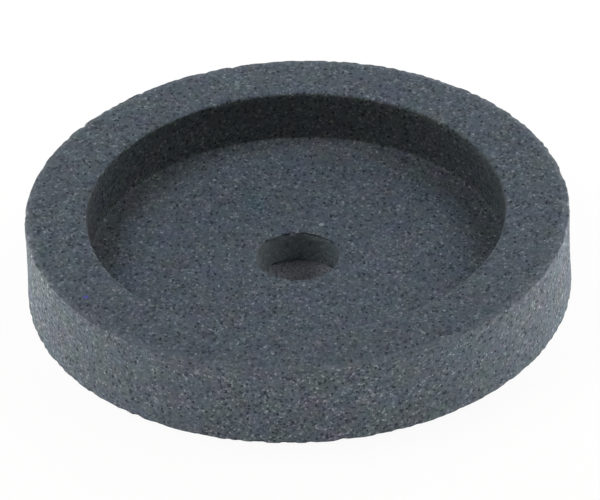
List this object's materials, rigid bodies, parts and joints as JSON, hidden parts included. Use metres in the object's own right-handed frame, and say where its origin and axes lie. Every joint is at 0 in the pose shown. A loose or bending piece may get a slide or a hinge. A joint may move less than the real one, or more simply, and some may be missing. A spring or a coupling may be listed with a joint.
{
  "type": "grinding wheel",
  "caption": "Flat round grinding wheel of fired abrasive grain, with a wide recess in its front face and a plain central bore, for sharpening blades.",
  "frame": {"origin": "centre of the flat back face, which the wheel rests on", "axes": "+Z along the wheel's axis, out of the recess"},
  "size_m": [0.04, 0.04, 0.0065],
  "materials": {
    "fired_abrasive": "matt, open grain"
  },
  "bodies": {
    "root": {"grinding_wheel": "fired_abrasive"}
  },
  "joints": []
}
